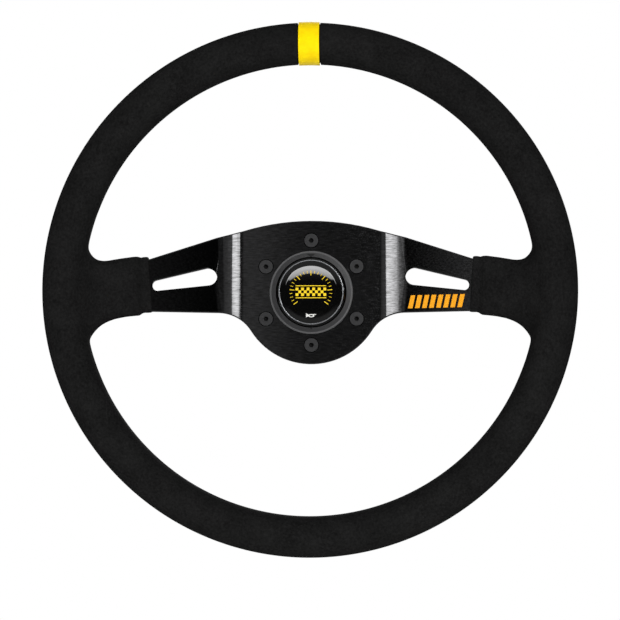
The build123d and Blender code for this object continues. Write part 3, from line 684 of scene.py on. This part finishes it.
def ink(width, height, x, z, turn=0.0):
    """Adds one flat upright patch of ink, turned about the steering axis."""
    bpy.ops.mesh.primitive_plane_add(size=MM)
    patch = bpy.context.object
    lay = Matrix.Rotation(turn, 4, "Y") @ Matrix.Translation(Vector((x, 0, z)) * MM)
    lay @= Matrix.Rotation(pi / 2, 4, "X") @ Matrix.Diagonal((width, height, 1, 1))
    patch.data.transform(lay)
    return patch


def gather(patches):
    """Joins patches of ink into one piece."""
    select(*patches)
    bpy.ops.object.join()
    return patches[0]


square, columns, levels = 1.85, 11, 3
filled = square * 1.02  # the squares' corners run together a little
ribbon = []
for column in range(columns):
    for level in range(levels):
        if (column + level) % 2 == 0:
            ribbon.append(ink(filled, filled, (column - (columns - 1) / 2) * square,
                              (level - (levels - 1) / 2) * square))
# a line above and one below, in short lengths that follow the dome
line_level, line_width, line_parts = 4.0, 0.5, 6
part_length = columns * square / line_parts
for z in (-line_level, line_level):
    for part in range(line_parts):
        x = (part - (line_parts - 1) / 2) * part_length
        ribbon.append(ink(part_length + 0.002, line_width, x, z))
lay_print(gather(ribbon), "badge_ribbon", badge_yellow, dome_depth, "horn_button")

tick_circle, tick_step, ticks_each_side = 14.2, radians(10.5), 12
ticks = []
for tick in range(-ticks_each_side, ticks_each_side + 1):
    width, length = (0.5, 3.2) if tick % 4 == 0 else (0.32, 1.8)
    ticks.append(ink(width, length, 0, tick_circle - length / 2, tick * tick_step))
lay_print(gather(ticks), "badge_ticks", badge_yellow, dome_depth, "horn_button")

# the small white horn sign below it: a bell, a mouthpiece and the looped tube
sign_level = -15.6
bell = ink(1.0, 1.0, 0, sign_level)
bell_left, bell_right = (-3.3, 1.45), (-1.7, 0.5)  # x and half height of its two ends
for vertex in bell.data.vertices:
    x, half_height = bell_left if vertex.co.x < 0 else bell_right
    above = 1 if vertex.co.z > sign_level * MM else -1
    vertex.co.x, vertex.co.z = x * MM, (sign_level + above * half_height) * MM
tube_middle, tube_radii, tube_bore = (0.2, 0, sign_level - 0.25), (2.1, 1, 1.05, 1), 0.5
bpy.ops.mesh.primitive_circle_add(vertices=36, radius=MM, fill_type="NOTHING",
                                  rotation=(pi / 2, 0, 0))
tube = bpy.context.object
bpy.ops.object.mode_set(mode="EDIT")
bpy.ops.mesh.extrude_edges_move()
bpy.ops.transform.resize(value=(tube_bore, 1, tube_bore))
bpy.ops.object.mode_set(mode="OBJECT")
tube.data.transform(Matrix.Rotation(pi / 2, 4, "X"))
tube.rotation_euler = (0, 0, 0)
tube.data.transform(Matrix.Translation(Vector(tube_middle) * MM) @ Matrix.Diagonal(tube_radii))
mouthpiece = ink(2.0, 0.5, 2.4, sign_level + 0.55)
lay_print(gather([bell, tube, mouthpiece]), "badge_horn_sign", white_print, dome_depth,
          "horn_button")

# the slanted orange bars printed low on the right spoke
spoke_orange = grain("orange_screen_print", ("#ee9a10", "#f6ab1c"), (0.4, 0.5), 0.0,
                     0.5, (1, 1, 1), 0.05, 0.02)
bar_count, bar_pitch, bar_width, bar_height = 8, 4.65, 3.0, 8.6
first_bar, bar_level, bar_lean = 66.9, -6.6, 0.22
bars = []
for number in range(bar_count):
    bar = ink(bar_width, bar_height, 0, 0)
    for vertex in bar.data.vertices:
        vertex.co.x += (bar_lean * vertex.co.z / MM + first_bar + number * bar_pitch) * MM
        vertex.co.z += bar_level * MM
    bars.append(bar)


def spoke_face(x, z):
    """Depth of a rising spoke's front face, which is the same at every height."""
    return spoke_middle(x) + plate_thickness / 2 / cos(spoke_rise)


lay_print(gather(bars), "spoke_bars", spoke_orange, spoke_face, "wheel")

# === floor and light ======================================================================
# A pale floor and three large soft boxes, one on each side of the driver's place and one
# behind the wheel, in a studio that is white behind and dark in front, so that glossy black
# stays black. Panels beside the wheel light single pieces.
floor_size, floor_level = 12, -0.62  # metres, as all lengths from here on
floor_paint = start_finish("pale_floor_paint", "#f2f2f0", 0.9)[0]
bpy.ops.object.select_all(action="DESELECT")
bpy.ops.mesh.primitive_plane_add(size=floor_size, location=(0, 0, floor_level))
floor = bpy.context.object
floor.name = floor.data.name = "pale_floor"
floor.data.materials.append(floor_paint)
floor.visible_glossy = False

sky = bpy.data.worlds.new("white_studio")
sky.use_nodes = True
bpy.context.scene.world = sky
ambient = sky.node_tree.nodes["Background"]
ambient.inputs["Color"].default_value = (1, 1, 1, 1)
ambient.inputs["Strength"].default_value = 0.34
# what metal and gloss mirror: pale behind, above and below, and all but black in front
direction = add_node(sky, "ShaderNodeTexCoord").outputs["Generated"]
parts = add_node(sky, "ShaderNodeSeparateXYZ", links={"Vector": direction})
mirrored = add_node(sky, "ShaderNodeMapRange", links={"Value": parts.outputs["Y"]},
                    interpolation_type="SMOOTHSTEP",
                    values={"From Min": -0.5, "From Max": 0.55, "To Min": 0.006, "To Max": 0.6})
height = add_node(sky, "ShaderNodeMath", operation="ABSOLUTE", links={0: parts.outputs["Z"]})
above_below = add_node(sky, "ShaderNodeMapRange", links={"Value": height.outputs[0]},
                       interpolation_type="SMOOTHSTEP",
                       values={"From Min": 0.2, "From Max": 0.55, "To Min": 0.0, "To Max": 0.35})
mirrored = add_node(sky, "ShaderNodeMath", operation="MAXIMUM",
                    links={0: mirrored.outputs[0], 1: above_below.outputs[0]})
for_metal = add_node(sky, "ShaderNodeBackground", links={"Strength": mirrored.outputs[0]},
                     values={"Color": (1, 1, 1, 1)})
white = add_node(sky, "ShaderNodeBackground", values={"Color": (1, 1, 1, 1), "Strength": 1.0})
paths = add_node(sky, "ShaderNodeLightPath")
indoors = add_node(sky, "ShaderNodeMixShader",
                   links={"Fac": paths.outputs["Is Glossy Ray"], 1: ambient.outputs[0],
                          2: for_metal.outputs[0]})
clear = add_node(sky, "ShaderNodeMath", operation="MAXIMUM",
                 links={0: paths.outputs["Is Camera Ray"],
                        1: paths.outputs["Is Transmission Ray"]})
finished = add_node(sky, "ShaderNodeMixShader",
                    links={"Fac": clear.outputs[0], 1: indoors.outputs[0], 2: white.outputs[0]})
sky.node_tree.links.new(finished.outputs[0],
                        sky.node_tree.nodes["World Output"].inputs["Surface"])


def soft_box(name, place, toward, size, glow, reflected, lights_only=()):
    """Hangs one soft box. glow is its brightness, where 1 is white; lights_only names pieces."""
    bpy.ops.object.light_add(type="AREA", location=place)
    lamp = bpy.context.object
    lamp.name = lamp.data.name = name
    lamp.data.shape = "RECTANGLE"
    lamp.data.size, lamp.data.size_y = size
    lamp.data.energy = glow * pi * size[0] * size[1]
    lamp.rotation_euler = (Vector(toward) - lamp.location).to_track_quat("-Z", "Y").to_euler()
    lamp.visible_glossy, lamp.visible_camera = reflected, False
    if lights_only:
        lit = bpy.data.collections.new(name + "_lights")
        for piece in lights_only:
            lit.objects.link(piece)
        lamp.light_linking.receiver_collection = lit
    return lamp


wheel_middle = (0, -rim_depth * MM, 0)
soft_box("left_soft_box", (-0.7, -3.0, 0.5), wheel_middle, (1.2, 1.2), 8.4, False)
soft_box("right_soft_box", (0.9, -3.0, -0.1), wheel_middle, (1.2, 1.2), 8.4, False)
soft_box("back_soft_box", (0.5, 2.3, 1.2), wheel_middle, (1.6, 1.6), 6.5, True)

# the light bank that the brushed plate mirrors: a narrow panel for the left bend, a wider one
# that dies away for the right bend, and a dark gap between them for the flat hub
bank_x, bank_z, bank_width = -0.2, 0.37, 6.6
bank = soft_box("plate_light_bank", (bank_x, -4.5, bank_z), (bank_x, 0, bank_z),
                (bank_width, 1.6), 12.0, True, [plate])
bank.data.use_nodes = True
across = add_node(bank.data, "ShaderNodeNewGeometry")
across = add_node(bank.data, "ShaderNodeSeparateXYZ", links={0: across.outputs["Parametric"]})
panels = add_node(bank.data, "ShaderNodeValToRGB", links={"Fac": across.outputs["X"]})
# where each stretch of the bank begins and ends across its width, in straight fades, and its
# share of the full brightness there
wide_panel = ((-3.3, 0.0), (-2.95, 0.04), (-2.65, 0.12), (-1.65, 0.72), (-0.86, 0.9))
dark_gap = ((-0.82, 0.05), (-0.3, 0.035), (-0.2, 0.012), (0.12, 0.006))
narrow_panel = ((0.2, 0.7), (0.55, 0.92), (0.86, 0.8), (0.94, 0.1))
spill = ((1.15, 0.055), (2.85, 0.0))
brightness = wide_panel + dark_gap + narrow_panel + spill
ramp = panels.color_ramp
while len(ramp.elements) < len(brightness):
    ramp.elements.new(0.5)
for stop, (x, value) in zip(ramp.elements, brightness):
    stop.position = (x - bank_x + bank_width / 2) / bank_width
    stop.color = (value, value, value, 1)
bank.data.node_tree.links.new(panels.outputs["Color"],
                              bank.data.node_tree.nodes["Emission"].inputs["Color"])

# the arched panel that shows as a pale crescent in the poured badge: its lower edge is a
# parabola, and it brightens upward
arch_x, arch_z = -0.06, 0.57
arch = soft_box("arched_panel", (arch_x, -1.6, arch_z), (arch_x, 0, arch_z), (1.48, 0.58),
                11.0, True, [dome])
arch.data.use_nodes = True
spot = add_node(arch.data, "ShaderNodeNewGeometry")
spot = add_node(arch.data, "ShaderNodeSeparateXYZ", links={0: spot.outputs["Parametric"]})
sideways = add_node(arch.data, "ShaderNodeMath", operation="SUBTRACT",
                    links={0: spot.outputs["X"]}, values={1: 0.5})
squared = add_node(arch.data, "ShaderNodeMath", operation="POWER",
                   links={0: sideways.outputs[0]}, values={1: 2.0})
above = add_node(arch.data, "ShaderNodeMath", operation="MULTIPLY_ADD",
                 links={0: squared.outputs[0], 2: spot.outputs["Y"]}, values={1: 2.0})
panel = add_node(arch.data, "ShaderNodeMapRange", links={"Value": above.outputs[0]},
                 values={"From Min": 0.54, "From Max": 0.565})
shade = add_node(arch.data, "ShaderNodeMapRange", links={"Value": above.outputs[0]},
                 values={"From Min": 0.55, "From Max": 0.85, "To Min": 0.55, "To Max": 1.1})
glowing = add_node(arch.data, "ShaderNodeMath", operation="MULTIPLY",
                   links={0: panel.outputs[0], 1: shade.outputs[0]})
arch.data.node_tree.links.new(glowing.outputs[0],
                              arch.data.node_tree.nodes["Emission"].inputs["Color"])

# small panels for the moulded ring, the trim and the screws
small_pieces = [horn_ring, dart, screws, trim]
hub_middle = (0, -0.07, 0)
soft_box("trim_panel", (-0.06, -1.6, 0.12), (-0.06, 0, 0.12), (0.5, 0.5), 0.8, True, [trim])
soft_box("ring_panel", (0.75, -1.5, 0.5), hub_middle, (0.6, 0.6), 9.0, True, small_pieces)
soft_box("left_edge_panel", (-1.2, -0.45, 0.2), hub_middle, (0.5, 1.2), 5.0, True, small_pieces)
soft_box("right_edge_panel", (1.2, -0.45, 0.0), hub_middle, (0.5, 1.2), 3.0, True, small_pieces)

# === camera ===============================================================================
# A long lens, 1.6 m away, a little below the steering axis and a little to its right, so
# that the wheel is seen almost square on.
view_azimuth, view_elevation, view_distance = radians(2.0), radians(-3.6), 1.6
aim = Vector((0.0004, -rim_depth * MM, -0.0139))
toward_camera = Vector((sin(view_azimuth) * cos(view_elevation),
                        -cos(view_azimuth) * cos(view_elevation), sin(view_elevation)))
bpy.ops.object.camera_add(location=aim + toward_camera * view_distance)
camera = bpy.context.object
camera.rotation_euler = (-toward_camera).to_track_quat("-Z", "Y").to_euler()
camera.data.sensor_width, camera.data.lens = 36.0, 142.3
camera.data.clip_start = 0.05
bpy.context.scene.camera = camera
bpy.context.scene.view_settings.view_transform = "Standard"
